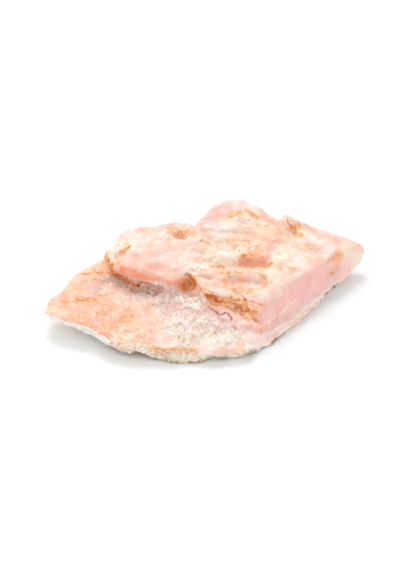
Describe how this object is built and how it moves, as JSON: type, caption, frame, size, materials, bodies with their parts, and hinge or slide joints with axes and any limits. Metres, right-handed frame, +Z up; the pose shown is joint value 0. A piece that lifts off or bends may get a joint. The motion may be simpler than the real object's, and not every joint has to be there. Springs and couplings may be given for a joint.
{
  "type": "rough pink opal",
  "caption": "Rough piece of pink opal: a broken, layered stone with a thin crusted plate, a standing slab, a smooth pink face, pits and ledges, lying on its flat underside.",
  "frame": {"origin": "middle of the bounding box in plan, on the surface that the stone rests on", "axes": "+X from the thin left tip to the right tip, +Y to the back, where the stone is tallest, +Z up"},
  "size_m": [0.075, 0.046, 0.0151],
  "materials": {
    "pink_opal": "waxy pink opal, milky and a little translucent on clean faces, with matt cream, lavender and orange-stained matrix"
  },
  "bodies": {
    "root": {"rough_pink_opal": "pink_opal"}
  },
  "joints": []
}
